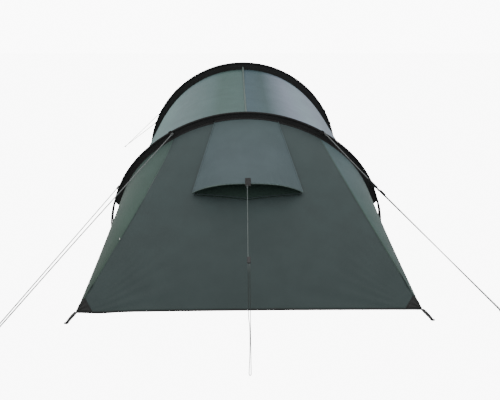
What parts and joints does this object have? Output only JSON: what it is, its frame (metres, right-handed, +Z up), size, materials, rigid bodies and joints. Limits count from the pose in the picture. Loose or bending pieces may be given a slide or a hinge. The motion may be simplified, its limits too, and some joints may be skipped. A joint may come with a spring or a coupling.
{
  "type": "tunnel tent",
  "caption": "Low tunnel tent on bent hoops in fabric sleeves, with a sloping end panel, a hooded vent, a zipped front door, a hung inner tent and guy lines.",
  "frame": {"origin": "on the ground, midway between the two ends and the two sides", "axes": "+Z up; the end with the sloping panel and the hooded vent faces -Y, the zipped door faces +Y, +X is to the right seen from the vent end"},
  "size_m": [2.949, 6.398, 1.1998],
  "materials": {
    "slate_fly": "matt coated taffeta",
    "hood_fly": "matt coated taffeta",
    "gusset_fly": "matt coated taffeta",
    "roof_fly": "coated taffeta, a soft sheen",
    "black_cloth": "matt",
    "webbing": "ribbed webbing",
    "mesh": "fine open mesh",
    "inner_cloth": "matt breathable",
    "groundsheet": "matt coated",
    "black_plastic": "matt",
    "pole": "satin glass fibre",
    "steel": "satin",
    "elastic": "matt",
    "zip": "coil",
    "guy_cord": "braided"
  },
  "bodies": {
    "tent": {"corner_patches": "black_cloth", "corner_rings": "steel", "corner_straps": "webbing", "foot_eyelets": "steel", "foot_pins": "steel", "foot_webs": "webbing", "front_gusset_left": "gusset_fly", "front_gusset_right": "gusset_fly", "front_hem": "black_cloth", "front_panel": "slate_fly", "front_pole_arch": "pole", "front_pole_ferrules": "steel", "front_pole_left_leg": "pole", "front_pole_right_leg": "pole", "front_sleeve": "black_cloth", "groundsheet": "groundsheet", "guy_front_left_lower": "guy_cord", "guy_front_left_upper": "guy_cord", "guy_rear_left_lower": "guy_cord", "guy_rear_left_upper": "guy_cord", "guy_rear_right_lower": "guy_cord", "guy_rear_right_upper": "guy_cord", "guy_rings": "black_plastic", "guy_tabs": "webbing", "inner_canopy": "inner_cloth", "inner_front_wall": "inner_cloth", "inner_rear_wall": "inner_cloth", "inner_toggles": "black_plastic", "pole_tips": "black_plastic", "rear_gusset_left": "gusset_fly", "rear_gusset_right": "gusset_fly", "rear_hem": "black_cloth", "rear_panel": "slate_fly", "rear_pole_arch": "pole", "rear_pole_ferrules": "steel", "rear_pole_left_leg": "pole", "rear_pole_right_leg": "pole", "rear_sleeve": "black_cloth", "ridge_tape": "roof_fly", "roof_left": "roof_fly", "roof_right": "roof_fly", "shock_cords": "elastic", "side_hems": "black_cloth", "vent_brim": "hood_fly", "vent_guy": "guy_cord", "vent_guy_return": "guy_cord", "vent_hood": "hood_fly", "vent_mesh": "mesh", "vent_tab": "webbing"},
    "front_door": {"front_door": "slate_fly", "door_zip": "zip"},
    "zip_slider": {"door_zip_slider": "steel"},
    "zip_pull": {"door_zip_pull": "black_plastic"},
    "inner_door": {"inner_door": "inner_cloth"},
    "vent_runner": {"vent_guy_runner": "black_plastic"},
    "right_upper_runner": {"rear_right_upper_runner": "black_plastic"},
    "right_lower_runner": {"rear_right_lower_runner": "black_plastic"},
    "left_upper_runner": {"rear_left_upper_runner": "black_plastic"},
    "left_lower_runner": {"rear_left_lower_runner": "black_plastic"}
  },
  "joints": [
    {"name": "front_door_swing", "type": "hinge", "parent": "tent", "child": "front_door", "pos_m": [0.47441, 1.86472, 0.00426], "axis": [0.1044, 0.4189, -0.902], "range_deg": [0, 110]},
    {"name": "zip_slider_run", "type": "slide", "parent": "front_door", "child": "zip_slider", "axis": [0.1044, -0.4189, 0.902], "range_m": [0, 0.98]},
    {"name": "zip_pull_swing", "type": "hinge", "parent": "zip_slider", "child": "zip_pull", "pos_m": [-0.467, 1.84251, 0.0718], "axis": [0.9945, 0.044, -0.0947], "range_deg": [0, 150]},
    {"name": "inner_door_swing", "type": "hinge", "parent": "tent", "child": "inner_door", "pos_m": [0.3115, 0.4535, 0.3], "axis": [0, 0, -1], "range_deg": [0, 100]},
    {"name": "vent_runner_slide", "type": "slide", "parent": "tent", "child": "vent_runner", "axis": [-0.0104, -0.9063, -0.4224], "range_m": [0, 0.35]},
    {"name": "right_upper_runner_slide", "type": "slide", "parent": "tent", "child": "right_upper_runner", "axis": [0.5165, -0.6982, -0.4958], "range_m": [0, 0.6]},
    {"name": "right_lower_runner_slide", "type": "slide", "parent": "tent", "child": "right_lower_runner", "axis": [0.3705, -0.8643, -0.3403], "range_m": [0, 0.6]},
    {"name": "left_upper_runner_slide", "type": "slide", "parent": "tent", "child": "left_upper_runner", "axis": [0.3586, 0.8578, 0.3682], "range_m": [0, 0.6]},
    {"name": "left_lower_runner_slide", "type": "slide", "parent": "tent", "child": "left_lower_runner", "axis": [0.2184, 0.9493, 0.226], "range_m": [0, 0.6]}
  ]
}
